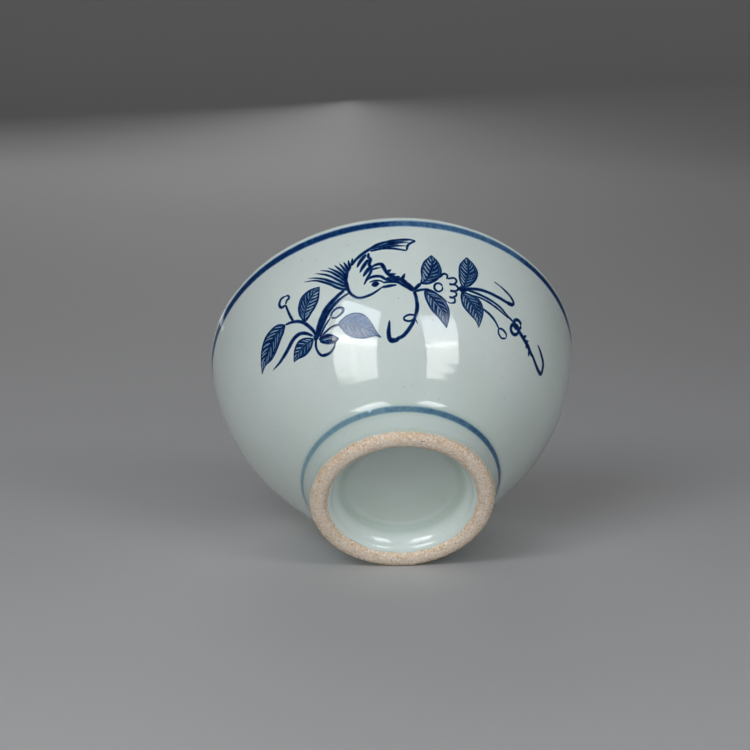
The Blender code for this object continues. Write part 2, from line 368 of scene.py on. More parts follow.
def make_glassy(tree, shader):
    """Give a material the glaze's shine and its faint orange peel, and return the peel."""
    gloss = span(tree, noise_node(tree, 6 * MM), 0.3, 0.7, 0.035, 0.07)
    tree.links.new(gloss, shader.inputs["Roughness"])
    shader.inputs["IOR"].default_value = 1.5
    return bump(tree, shader, noise_node(tree, 1.8 * MM, 2.0), 0.02 * MM, 0.16)


def glaze_material():
    """The plain glaze, with a few dark specks that stand in small pits."""
    material, tree, shader = new_material("celadon_glaze")
    colour = glaze_colour(tree)
    specks = noise_node(tree, 0.55 * MM, 0.0)
    colour = mix(tree, span(tree, specks, 0.82, 0.87, 0.0, 0.4), colour, (0.24, 0.22, 0.15))
    tree.links.new(colour, shader.inputs["Base Color"])
    peel = make_glassy(tree, shader)
    bump(tree, shader, span(tree, specks, 0.76, 0.82, 1.0, 0.0), 0.03 * MM, 0.4, peel)
    return material


def cobalt_material():
    """Blue under the glaze: the glaze's own colour, darkened by how much ink lies there."""
    material, tree, shader = new_material("cobalt_blue")
    uneven = span(tree, noise_node(tree, 0.9 * MM, 4.0), 0.3, 0.7, 0.86, 1.12)
    ink = math_node(tree, "MULTIPLY", attribute(tree, "ink"), uneven)
    stain = ramp(tree, ink, [
        (0.0, (1.0, 1.0, 1.0)), (0.25, (0.47, 0.63, 0.83)), (0.5, (0.115, 0.245, 0.47)),
        (0.75, (0.006, 0.050, 0.200)), (1.0, (0.0, 0.009, 0.075))])
    colour = mix(tree, 1.0, glaze_colour(tree), stain, "MULTIPLY")
    tree.links.new(colour, shader.inputs["Base Color"])
    make_glassy(tree, shader)
    return material


def clay_material():
    """Bare fired clay: sandy, pitted, and burnt orange beside the glaze."""
    material, tree, shader = new_material("fired_clay")
    grain = noise_node(tree, 0.55 * MM, 5.0, 0.8)
    patch = noise_node(tree, 3.2 * MM, 4.0, 0.6)
    colour = ramp(tree, patch, [
        (0.30, (0.78, 0.62, 0.46)), (0.52, (0.87, 0.72, 0.57)), (0.72, (0.93, 0.80, 0.67))])
    burn = math_node(tree, "MULTIPLY", attribute(tree, "burn"),
                     span(tree, noise_node(tree, 1.3 * MM, 4.0), 0.34, 0.60, 0.25, 0.90))
    colour = mix(tree, burn, colour, (0.70, 0.49, 0.27))
    colour = mix(tree, span(tree, grain, 0.52, 0.585, 0.0, 0.92), colour, (1.0, 0.94, 0.89))
    colour = mix(tree, span(tree, grain, 0.435, 0.36, 0.0, 0.70), colour, (0.42, 0.29, 0.19))
    specks = noise_node(tree, 0.45 * MM, 1.0)
    colour = mix(tree, span(tree, specks, 0.69, 0.74, 0.0, 0.9), colour, (0.13, 0.085, 0.05))
    tree.links.new(colour, shader.inputs["Base Color"])
    tree.links.new(span(tree, grain, 0.3, 0.7, 0.85, 0.55), shader.inputs["Roughness"])
    coarse = bump(tree, shader, noise_node(tree, 0.8 * MM, 4.0, 0.65), 0.20 * MM, 0.8)
    bump(tree, shader, grain, 0.12 * MM, 0.9, coarse)
    shader.inputs["IOR"].default_value = 1.45
    return material


def floor_material():
    """A plain pale sweep, seen from its upper side only."""
    material, tree, shader = new_material("pale_floor")
    place = noise_node(tree, 0.5, 2.0)
    tree.links.new(ramp(tree, place, [(0.3, (0.49, 0.485, 0.485)), (0.7, (0.51, 0.505, 0.505))]),
                   shader.inputs["Base Color"])
    shader.inputs["Roughness"].default_value = 0.6
    shader.inputs["Specular IOR Level"].default_value = 0.2
    side = tree.nodes.new("ShaderNodeNewGeometry")
    clear = tree.nodes.new("ShaderNodeBsdfTransparent")
    either = tree.nodes.new("ShaderNodeMixShader")
    tree.links.new(side.outputs["Backfacing"], either.inputs["Fac"])
    tree.links.new(shader.outputs["BSDF"], either.inputs[1])
    tree.links.new(clear.outputs["BSDF"], either.inputs[2])
    tree.links.new(either.outputs["Shader"], tree.nodes["Material Output"].inputs["Surface"])
    return material


GLAZED, COBALT, CLAY = glaze_material(), cobalt_material(), clay_material()


# ---- the cup

def glazed_outside(columns=480):
    """The coat up the foot and wall and over the lip, ending in a bead above the bare ring."""
    angle = np.linspace(0, 2 * math.pi, columns, endpoint=False)
    low = OUTSIDE.s[0] + BARE_EDGE - 0.1 * MM + (
        0.25 * ring_noise(angle, 0.35, 5) + 0.22 * ring_noise(angle, 0.07, 6)) * MM
    share = np.r_[np.linspace(0, 0.006, 5)[:-1], np.linspace(0.006, 0.2, 44)[:-1],
                  np.linspace(0.2, 0.93, 120)[:-1], np.linspace(0.93, 1.0, 44)]
    front, back, pool = [], [], []
    for part in share:
        s = low + part * (OUTSIDE.s[-1] - low)
        bead = 0.07 * MM * np.exp(-((s - low) / (0.35 * MM) - 1) ** 2) * ease(s - low, 0, 0.3 * MM)
        edge = -0.30 * MM * (1 - np.sqrt(ease(s - low, -0.05 * MM, 0.25 * MM)))
        drips = 0.05 * MM * ring_noise(angle, 0.16, 8) * (1 - ease(s, -2.5 * MM, 0))
        front.append(on_wall(angle, s, bead + edge + drips))
        back.append(on_wall(angle, s, -GLAZE * np.ones(columns)))
        brim = 0.35 * np.exp(-((s - low) / (0.7 * MM)) ** 2)
        thin = ease(s, LIP_START - 0.5 * MM, LIP_START + 1.2 * MM)
        pool.append(np.clip(gathered(s) + brim, 0, 1) * (1 - thin))
    points = np.concatenate(front + back[::-1])
    values = np.concatenate(pool + pool[::-1])
    make_object("glazed_outside", points, ring_faces(2 * len(share), columns),
                GLAZED, ["outer_glaze"], {"pool": values})


def glazed_inside(columns=360):
    """The coat inside the bowl, with soft ripples and a turning spiral at its floor."""
    angle = np.linspace(0, 2 * math.pi, columns, endpoint=False)
    length = INSIDE.s[-1]
    share = np.r_[np.linspace(-0.002, 0.05, 14)[:-1], np.linspace(0.05, 0.985, 120)]
    front, back, pool = [], [], []
    for part in share:
        s = part * length
        warp = bend(angle, 1 - part) * (1 - ease(part, 0.25, 0.6))
        ripple = 0.015 * MM * math.sin(s / MM * 1.9) * float(ease(part, 0.04, 0.15))
        fade = ease(part, 0.62, 0.8) * (1 - ease(part, 0.9, 0.985))
        spiral = 0.03 * MM * np.cos(angle - s / (2.2 * MM)) * fade
        r, z = INSIDE.at(s, ripple + spiral)
        front.append(turned(r + warp, z, angle))
        r, z = INSIDE.at(s, -GLAZE)
        back.append(turned(r + warp, z, angle))
        pool.append(np.full(columns, 0.05 + 0.45 * float(ease(part, 0.55, 0.95))))
    points = front + back[::-1]
    middle = [(0, 0, INSIDE_FLOOR), (0, 0, INSIDE_FLOOR - GLAZE)]
    faces = dished_faces(len(points), columns, len(share))
    values = np.concatenate(pool + pool[::-1] + [[0.5, 0.5]])
    make_object("glazed_inside", np.concatenate(points + [middle]), faces,
                GLAZED, ["inner_glaze"], {"pool": values})


def glazed_well(columns=360):
    """The recess under the foot, its glaze ending in a bead inside the bare ring."""
    angle = np.linspace(0, 2 * math.pi, columns, endpoint=False)
    low = 0.20 * MM + 0.16 * MM * ring_noise(angle, 0.3, 11) + 0.16 * MM * ring_noise(angle, 0.08, 12)
    share = np.r_[np.linspace(0, 0.4, 80)[:-1], np.linspace(0.4, 0.97, 50)]
    front, back, pool = [], [], []
    for part in share:
        s = low + part * (WELL.s[-1] - low)
        place = turned(*WELL.at(s, 0.0), angle)
        fade = ease(part, 0.02, 0.1) * (1 - ease(part, 0.85, 0.97))
        swell = 0.04 * MM * noise(place, 5 * MM, 14) * fade
        edge = 0.30 * MM * (1 - np.sqrt(ease(s - low, -0.05 * MM, 0.25 * MM)))
        front.append(turned(*WELL.at(s, edge - swell), angle))
        back.append(turned(*WELL.at(s, np.full(columns, GLAZE)), angle))
        corner = 0.50 * np.exp(-((s - 5.8 * MM) / (1.4 * MM)) ** 2)
        pool.append(np.clip(corner + 0.30 * ease(s, 4.0 * MM, 6.0 * MM), 0, 1))
    points = front + back[::-1]
    middle = [(0, 0, WELL_DEPTH), (0, 0, WELL_DEPTH + GLAZE)]
    faces = dished_faces(len(points), columns, len(share))
    values = np.concatenate(pool + pool[::-1] + [[0.3, 0.3]])
    make_object("glazed_foot_well", np.concatenate(points + [middle]), faces,
                GLAZED, ["foot_well_glaze"], {"pool": values})


def bare_ring(columns=1080):
    """The trimmed foot ring: gritty, pitted, and nicked a little along its edges."""
    angle = np.linspace(0, 2 * math.pi, columns, endpoint=False)
    lean = (FOOT_TOP_RADIUS - FOOT_BOTTOM_RADIUS) / FOOT_HEIGHT
    inner, outer = FOOT_INNER_RADIUS, FOOT_BOTTOM_RADIUS + lean * CREST_HEIGHT
    tuck, top = 0.42 * MM, 6.6 * MM
    turn = np.radians(np.linspace(0, 180, 64))
    crest = np.stack([(inner + outer) / 2 + (outer - inner) / 2 * np.cos(turn),
                      CREST_HEIGHT * (1 - np.sin(turn) ** 0.9)], 1)
    profile = np.concatenate([
        [(FOOT_BOTTOM_RADIUS + lean * top - tuck, top), (FOOT_BOTTOM_RADIUS + lean * 2.9 * MM - tuck,
                                                         2.9 * MM),
         (FOOT_BOTTOM_RADIUS + lean * 2.2 * MM - 0.12 * MM, 2.2 * MM)],
        crest,
        [(inner + 0.25 * MM, 1.7 * MM), (inner + 0.3 * MM, 2.4 * MM), (inner + 0.3 * MM, top)]])
    line = Line(profile)
    half = len(line.s) // 2
    start = float(line.s[:half][np.argmin(np.abs(line.points[:half, 1] - 2.3 * MM))])
    end = float(line.s[half:][np.argmin(np.abs(line.points[half:, 1] - 1.5 * MM))])
    lengths = np.r_[np.linspace(0, start, 4)[:-1], np.linspace(start, end, 66),
                    np.linspace(end, line.s[-1], 4)[1:]]
    rows, burns = [], []
    for s in lengths:
        r, z = line.at(s, 0.0)
        place = turned(r, z, angle)
        seen = float(ease(s, start - 0.2 * MM, start + 0.4 * MM) * (1 - ease(s, end - 0.4 * MM,
                                                                             end + 0.2 * MM)))
        flat = float(z < 0.01 * MM)
        grit = 0.030 * noise(place, 0.30 * MM, 21) + 0.030 * noise(place, 0.9 * MM, 22)
        pits = (-0.14 * ease(noise(place, 0.6 * MM, 23), 0.50, 0.9)
                - 0.08 * ease(noise(place, 0.33 * MM, 24), 0.5, 0.9))
        nicks = -0.06 * ease(noise(place, 1.1 * MM, 25), 0.40, 0.9) * (1 - flat)
        r, z2 = line.at(s, (grit + pits + nicks) * MM * seen)
        rows.append(turned(r, np.maximum(z2, 0.0), angle))
        near = max(1 - abs(s - start - 1.2 * MM) / (2.0 * MM), 1 - abs(end - 0.8 * MM - s) / (1.2 * MM), 0)
        burns.append(np.full(columns, near ** 0.5) * (1 + 0.25 * ring_noise(angle, 0.12, 26)))
    make_object("bare_foot_ring", np.concatenate(rows), ring_faces(len(rows), columns),
                CLAY, ["foot_ring"], {"burn": np.clip(np.concatenate(burns), 0, 1)})


# ---- the painting

STEP = 0.16  # mm between the points of a stroke
STRIP = np.array([-1.0, -0.60, 0.0, 0.60, 1.0])  # the points across it, as shares of half its width
BLEED = 0.16  # mm of soft edge beyond it
UNDER = 0.05  # mm that its slab reaches under the glaze's surface
FRINGE = 0.006  # mm that its soft edge stands over the glaze
HAND = 1.07  # scales the width of every stroke
CLOUDING = 0.1  # how much a wash's ink varies
MOST_INK = 1.15


def curve(points):
    """A smooth line through points on the flat layout, in millimetres, evenly stepped."""
    p = np.array(points, float)
    if len(p) == 2:
        p = np.array([p[0], (p[0] + p[1]) / 2, p[1]])
    ends = np.concatenate([[2 * p[0] - p[1]], p, [2 * p[-1] - p[-2]]])
    t = np.linspace(0, 1, 24, endpoint=False)[:, None]
    fine = [0.5 * (2 * b + (c - a) * t + (2 * a - 5 * b + 4 * c - d) * t ** 2
                   + (3 * b - a - 3 * c + d) * t ** 3)
            for a, b, c, d in zip(ends, ends[1:], ends[2:], ends[3:])]
    fine = np.concatenate(fine + [p[-1:]])
    length = np.r_[0, np.cumsum(np.hypot(*np.diff(fine, axis=0).T))]
    count = max(6, int(length[-1] / STEP) + 1)
    even = np.linspace(0, length[-1], count)
    return np.stack([np.interp(even, length, fine[:, i]) for i in (0, 1)], 1), even


def spread(path, length, share):
    """The points of a path at shares of its length."""
    return np.stack([np.interp(share, length / length[-1], path[:, i]) for i in (0, 1)], 1)


def press(share, start, end):
    """How hard the brush presses along a stroke: 1 in its middle, start and end at its ends."""
    middle = np.sin(np.pi * np.clip(share, 0, 1)) ** 0.8
    return start * (1 - share) + end * share + (1.0 - (start + end) / 2) * middle


class Painting:
    """One painted motif: brush strokes and washes, each a thin closed slab on the glaze."""

    count = 0

    def __init__(self, node):
        self.node = node
        self.points, self.faces, self.ink, self.pool = [], [], [], []
        self.size = 0

    def add(self, flat, lift, inks, faces):
        """flat is u, v in millimetres; lift in millimetres, one for each point."""
        self.points.append(on_wall(flat[:, 0] * MM / PAINT_RADIUS, flat[:, 1] * MM, lift * MM))
        self.ink.append(inks)
        self.pool.append(gathered(flat[:, 1] * MM))
        self.faces += [tuple(self.size + i for i in face) for face in faces]
        self.size += len(flat)

    def level(self):
        """A slightly different height for each stroke, so that none lie in one plane."""
        Painting.count += 1
        return 0.018 + 0.0006 * (Painting.count % 19)

    def slab(self, grid, inks, lift):
        """A closed slab over a grid of rows x columns of flat points."""
        rows, columns = grid.shape[:2]
        top = grid.reshape(-1, 2)
        index = np.arange(rows * columns).reshape(rows, columns)
        faces = []
        for i in range(rows - 1):
            for j in range(columns - 1):
                a, b, c, d = index[i, j], index[i, j + 1], index[i + 1, j + 1], index[i + 1, j]
                faces.append((a, b, c, d))
                faces.append(tuple(x + rows * columns for x in (d, c, b, a)))
        edge = np.r_[index[0, :], index[1:, -1], index[-1, -2::-1], index[-2:0:-1, 0]]
        for a, b in zip(edge, np.roll(edge, -1)):
            faces.append((a, a + rows * columns, b + rows * columns, b))
        flat = np.concatenate([top, top])
        lifts = np.r_[np.broadcast_to(lift, (rows, columns)).ravel(), np.full(len(top), -UNDER)]
        self.add(flat, lifts, np.r_[inks.ravel(), inks.ravel()], faces)

    def line(self, points, width, start, end, ink=1.0):
        """A brush line: width in millimetres at its fullest, start and end as shares of it."""
        width = width * HAND
        path, length = curve(points)
        share = length / length[-1]
        along = np.gradient(path, axis=0)
        along /= np.hypot(*along.T)[:, None]
        side = np.stack([-along[:, 1], along[:, 0]], 1)
        seed = len(self.points) + 7
        wobble = noise(np.stack([path[:, 0], path[:, 1], 0 * share], 1), 1.1, seed)
        half = 0.5 * width * press(share, start, end) * (1 + 0.10 * wobble)
        ends = np.sqrt(np.clip(np.minimum(length, length[-1] - length) / (0.5 * width), 0, 1))
        half = np.maximum(half * np.maximum(ends, 0.25), 0.045)
        path = path + side * (0.05 * wobble * width)[:, None]
        soft = np.minimum(BLEED, 0.5 * half)[:, None]
        core = half[:, None] * STRIP
        reach = np.concatenate([core[:, :1] - soft, core, core[:, -1:] + soft], 1)
        grid = path[:, None, :] + side[:, None, :] * reach[:, :, None]
        load = ink * (0.97 + 0.09 * wobble)
        inks = load[:, None] * np.array([0.0, 0.62, 0.94, 1.0, 0.94, 0.62, 0.0])
        high = self.level()
        lifts = [FRINGE, 0.5 * high, high, high, high, 0.5 * high, FRINGE]
        self.slab(grid, inks, np.array(lifts))
        return self

    def wash(self, left, right, ink):
        """Thin colour between two edges that meet at both ends."""
        a, length = curve(left)
        b, other = curve(right)
        rows = max(len(a), len(b))
        t = np.linspace(0, 1, rows)
        a, b = spread(a, length, t), spread(b, other, t)
        columns = max(4, int(np.hypot(*(a - b).T).max() / 0.3))
        across = np.linspace(0.0, 1.0, columns)[None, :, None]
        gap = 0.02 * np.sin(np.pi * t)[:, None, None] + 0.005
        grid = a[:, None] * (1 - across) + b[:, None] * across
        middle = (a + b)[:, None] / 2
        grid = grid + (grid - middle) * gap
        flat = np.concatenate([grid, np.zeros((*grid.shape[:2], 1))], 2)
        inks = ink + CLOUDING * noise(flat, 1.4, 31) + 0.5 * CLOUDING * noise(flat, 0.5, 32)
        self.slab(grid, inks, 0.010 + 0.0004 * (Painting.count % 5))
        return self

    def circle(self, centre, across, high, width, turn=0.4):
        """A small round loop of one brush line."""
        angles = turn + np.linspace(0, 2 * math.pi, 11)
        path = [(centre[0] + across / 2 * math.cos(a), centre[1] + high / 2 * math.sin(a)) for a in angles]
        return self.line(path, width, 0.9, 0.7)

    def leaf(self, left, right, veins=8, width=0.42, seed=0, ink=0.86):
        """A leaf loaded with ink: thin paler slits between its veins, and a midrib."""
        self.wash(left, right, ink)
        last = 79
        a, b = (spread(*curve(edge), np.linspace(0, 1, last + 1)) for edge in (left, right))
        rib = (a + b) / 2
        for side, edge in ((0, a), (1, b)):
            light = side == seed % 2
            for k in range(veins):
                start = 0.08 + 0.80 * (k + 0.4 * side) / veins + 0.008 * ((k * 5 + seed) % 3)
                reach = start + 0.13 + 0.012 * ((k * 7 + side * 3 + seed) % 3)
                if reach > 0.97:
                    continue
                i, j = int(start * last), int(reach * last)
                root = rib[i] * 0.84 + edge[i] * 0.16
                tip = edge[j] * (0.84 if light else 0.74) + rib[j] * (0.16 if light else 0.26)
                bow = (root + tip) / 2 + 0.07 * (edge[i] - root)
                slit = (0.23 if light else 0.16) * (1 + 0.15 * ((k * 5 + seed) % 3 - 1))
                self.line([tuple(root), tuple(bow), tuple(tip)], slit, 0.6, 0.5, 0.38 if light else 0.50)
        self.line([tuple(rib[i]) for i in (0, 16, 32, 48, 64, last)], width, 0.9, 0.3, ink + 0.14)
        self.line(left, width, 0.8, 0.35, ink + 0.1)
        self.line(right, width * 1.1, 0.8, 0.35, ink + 0.1)
        return self

    def finish(self):
        values = {"ink": np.clip(np.concatenate(self.ink), 0, MOST_INK),
                  "pool": np.concatenate(self.pool)}
        make_object("painted_" + self.node, np.concatenate(self.points), self.faces,
                    COBALT, [self.node], values, sharp=40)


def paint_left():
    Painting("branch_far_left").line([(-19.8, 22.0), (-20.3, 24.0), (-22.0, 26.7), (-24.3, 28.1),
                                      (-26.8, 28.7)], 0.75, 0.9, 0.5).finish()
    Painting("leaf_far_left").leaf(
        [(-26.8, 28.7), (-28.7, 29.8), (-31.0, 29.9), (-33.5, 29.3), (-36.0, 27.7), (-38.0, 25.6),
         (-39.8, 23.4)],
        [(-26.8, 28.7), (-28.0, 27.4), (-29.8, 26.2), (-32.0, 24.9), (-34.5, 24.1), (-37.4, 24.2),
         (-39.8, 23.4)],
        veins=9).finish()
    Painting("leaf_left_up").leaf(
        [(-21.5, 26.6), (-22.1, 28.8), (-21.6, 31.0), (-20.2, 32.7), (-18.0, 33.5), (-15.5, 33.3)],
        [(-21.5, 26.6), (-20.4, 27.1), (-19.2, 28.0), (-17.9, 28.9), (-16.6, 30.4), (-15.5, 33.3)],
        veins=8, seed=1).finish()
    Painting("bud_stalk_left").line([(-24.3, 28.2), (-24.7, 30.6), (-24.8, 33.2)], 0.55, 0.9, 0.6).finish()
    bud = Painting("bud_left")
    bud.line([(-24.8, 33.2), (-26.0, 33.2), (-26.4, 34.2), (-25.6, 35.3), (-24.3, 35.4)], 0.6, 0.7, 0.6)
    bud.line([(-24.8, 33.3), (-24.2, 34.1), (-23.5, 34.3), (-23.6, 35.1), (-24.6, 35.4)], 0.5, 0.7, 0.4)
    bud.finish()
    Painting("blade_left").line([(-20.6, 22.4), (-22.6, 24.1), (-24.6, 24.6), (-26.6, 24.1), (-29.2, 22.9),
                                 (-32.6, 21.9), (-36.2, 21.7)], 0.85, 0.5, 0.1).finish()
    Painting("leaf_left_low").leaf(
        [(-20.9, 21.8), (-23.0, 22.8), (-24.9, 23.0), (-26.6, 22.2), (-27.8, 21.0), (-28.9, 19.5)],
        [(-20.9, 21.8), (-21.8, 20.7), (-23.0, 19.9), (-24.9, 19.4), (-27.2, 19.6), (-28.9, 19.5)],
        veins=6, seed=2).finish()
    stem = Painting("branch_left")
    stem.line([(-20.0, 21.6), (-18.2, 24.2), (-15.9, 26.7), (-13.3, 28.5), (-11.0, 29.8), (-9.4, 30.9)],
              1.05, 0.7, 0.5)
    stem.line([(-19.6, 21.5), (-17.5, 23.8), (-15.4, 25.9), (-13.2, 27.4), (-11.0, 28.5), (-8.8, 29.3)],
              0.9, 0.7, 0.35)
    stem.line([(-20.6, 21.0), (-20.0, 22.0), (-19.5, 22.6)], 1.5, 0.7, 0.6)
    stem.line([(-18.9, 21.5), (-16.8, 23.2), (-14.6, 24.9)], 0.5, 0.9, 0.6)
    stem.line([(-14.6, 24.9), (-14.0, 25.8), (-12.8, 26.4), (-11.5, 26.2), (-11.1, 25.5), (-12.1, 24.7),
               (-13.5, 24.3), (-14.6, 24.8)], 0.5, 0.8, 0.6)
    stem.line([(-18.8, 21.3), (-16.5, 22.1), (-14.7, 22.5), (-13.0, 22.5)], 0.5, 0.9, 0.7)
    stem.finish()
    Painting("leaf_centre").leaf(
        [(-13.1, 22.7), (-11.3, 23.6), (-9.2, 24.0), (-7.2, 23.6), (-5.8, 22.5), (-4.7, 20.7),
         (-3.8, 18.9), (-2.5, 17.2)],
        [(-13.1, 22.7), (-12.6, 21.4), (-11.6, 19.9), (-9.9, 18.7), (-7.7, 18.0), (-5.4, 17.9),
         (-3.9, 17.8), (-2.5, 17.2)],
        veins=8, seed=3, ink=0.68).finish()
    pod = Painting("pod_left")
    pod.wash([(-19.5, 20.8), (-17.5, 21.1), (-15.8, 20.5), (-14.1, 19.4)],
             [(-19.5, 20.8), (-18.6, 19.9), (-17.0, 19.2), (-14.1, 19.4)], 0.85)
    pod.line([(-18.4, 20.4), (-17.0, 20.2), (-15.9, 19.8)], 0.25, 0.6, 0.4, 0.35)
    pod.line([(-19.5, 20.9), (-17.5, 21.1), (-15.8, 20.5), (-14.1, 19.4)], 0.75, 0.8, 0.3)
    pod.line([(-19.4, 20.6), (-18.5, 19.9), (-17.0, 19.2), (-15.4, 19.0), (-14.1, 19.4)], 0.6, 0.8, 0.3)
    pod.line([(-20.3, 21.3), (-21.0, 19.6), (-20.8, 17.9), (-19.8, 17.0), (-17.8, 16.9), (-16.2, 17.7),
              (-15.2, 19.0)],
             0.6, 0.8, 0.5)
    pod.finish()


def paint_bird():
    wing = Painting("bird_wing")
    spikes = [
        [(-9.2, 30.2), (-11.2, 31.3), (-13.4, 33.3), (-16.0, 35.2), (-18.9, 36.3)],
        [(-9.4, 31.0), (-11.6, 32.7), (-14.0, 34.7), (-16.3, 36.1), (-17.8, 36.7)],
        [(-9.5, 31.8), (-11.4, 33.8), (-13.4, 35.7), (-15.9, 37.2)],
        [(-9.4, 32.6), (-10.8, 34.4), (-12.6, 36.3), (-14.6, 37.5)],
        [(-9.2, 33.3), (-10.6, 35.3), (-12.8, 37.5)],
        [(-9.0, 34.0), (-9.9, 35.6), (-11.2, 37.6)],
        [(-8.7, 34.6), (-9.3, 36.1), (-10.1, 37.7)],
        [(-8.3, 35.2), (-8.6, 36.4), (-9.1, 37.8)],
        [(-7.8, 35.7), (-7.9, 36.8), (-8.0, 38.0)],
        [(-7.2, 36.2), (-7.2, 37.1), (-7.0, 38.3)]]
    for spike in spikes:
        wing.line(spike, 0.50, 1.0, 0.2)
    wing.line([(-9.2, 30.2), (-9.4, 32.4), (-8.9, 34.4), (-7.6, 36.2)], 0.8, 0.9, 0.8)
    wing.finish()
    body = Painting("bird_body")
    body.line([(-7.0, 37.3), (-8.2, 35.4), (-9.0, 33.3), (-9.1, 31.2), (-8.8, 29.4), (-7.8, 28.0),
               (-6.3, 27.4), (-4.0, 27.8), (-2.4, 28.5), (-1.0, 29.4)], 0.65, 0.7, 0.5)
    for feather in ([(-3.9, 38.6), (-5.5, 36.7), (-6.3, 35.3)], [(-3.5, 37.1), (-4.9, 35.3), (-5.8, 33.8)],
                    [(-3.2, 35.1), (-4.3, 33.8), (-5.2, 32.6)]):
        body.line(feather, 0.75, 0.8, 0.3)
    body.line([(-3.4, 38.9), (-3.5, 37.7), (-3.1, 37.0), (-3.5, 35.6), (-3.1, 34.7), (-3.5, 33.2),
               (-4.3, 32.1), (-5.2, 30.6)],
              0.6, 0.7, 0.4)
    body.line([(-3.1, 34.6), (-2.3, 35.2), (-0.9, 35.4), (-0.3, 34.6), (0.1, 33.2), (0.9, 32.0),
               (1.7, 31.2)], 0.65, 0.6, 0.5)
    body.line([(-3.4, 34.1), (-1.9, 34.4), (-0.9, 34.4)], 0.45, 0.7, 0.3)
    body.line([(-5.2, 30.5), (-4.3, 31.8), (-2.8, 32.3), (-1.2, 32.1), (-0.1, 31.4)], 0.6, 0.4, 0.7)
    body.line([(-3.5, 30.1), (-2.5, 30.3), (-1.6, 30.3)], 1.25, 0.7, 0.6)
    body.line([(-3.9, 30.9), (-2.6, 31.2), (-1.2, 30.9), (-0.4, 30.2)], 0.35, 0.6, 0.6)
    body.line([(-0.2, 31.4), (1.4, 31.3), (3.1, 30.8)], 0.65, 0.8, 0.4)
    body.line([(-0.6, 30.5), (1.2, 30.5), (2.5, 30.2)], 0.5, 0.8, 0.4)
    body.line([(-1.2, 29.3), (0.6, 29.5), (2.5, 29.7)], 0.6, 0.8, 0.4)
    body.finish()
    tail = Painting("bird_tail")
    tail.line([(-7.6, 36.2), (-6.0, 37.9), (-3.6, 39.6), (-1.3, 40.9), (1.0, 41.6), (3.7, 42.0),
               (5.4, 42.1), (6.9, 41.8)],
              0.7, 0.8, 0.5)
    tail.line([(-3.0, 39.3), (-0.2, 39.7), (2.0, 39.5), (4.9, 38.8)], 0.6, 0.7, 0.5)
    tail.line([(6.9, 41.8), (5.3, 40.5), (4.9, 38.8)], 0.5, 0.7, 0.5)
    tail.line([(-2.0, 40.0), (1.2, 40.9), (5.6, 41.2)], 0.5, 0.8, 0.2)
    tail.line([(-1.2, 39.9), (2.0, 40.2), (5.0, 40.2)], 0.5, 0.8, 0.2)
    tail.line([(-2.6, 39.9), (0.2, 40.5), (3.4, 40.7)], 0.4, 0.8, 0.2)
    tail.line([(0.4, 41.2), (2.8, 41.4), (5.4, 41.7)], 0.35, 0.6, 0.2)
    tail.finish()
    twig = Painting("thorn_twig")
    twig.line([(-1.1, 35.6), (-0.4, 34.3), (0.3, 33.0), (1.6, 31.8), (3.4, 31.0), (4.7, 29.9),
               (6.5, 28.5)], 0.85, 0.5, 0.9)
    twig.line([(-1.3, 32.0), (0.2, 31.1), (2.6, 30.4), (4.4, 29.3), (6.4, 28.1)], 0.65, 0.5, 0.9)
    for thorn in ([(0.2, 33.1), (1.4, 33.7)], [(1.0, 32.3), (2.4, 32.6)], [(2.0, 31.5), (3.2, 31.9)],
                  [(3.6, 30.9), (4.4, 32.7)]):
        twig.line(thorn, 0.6, 1.0, 0.1)
    twig.finish()
    tendril = Painting("tendril")
    tendril.line([(6.4, 28.2), (7.0, 26.4), (7.2, 24.1), (6.7, 21.5), (5.5, 19.3), (3.6, 17.3),
                  (1.6, 16.5)], 0.85, 0.8, 0.9)
    tendril.line([(2.6, 16.8), (1.4, 16.3), (0.0, 16.5), (-0.4, 18.0), (0.1, 21.2)], 1.1, 0.6, 0.25)
    tendril.line([(6.7, 22.3), (5.2, 22.3), (4.0, 21.7), (4.1, 21.0), (5.5, 20.8), (6.7, 21.4),
                  (7.5, 20.2)], 0.45, 0.7, 0.3)
    tendril.finish()


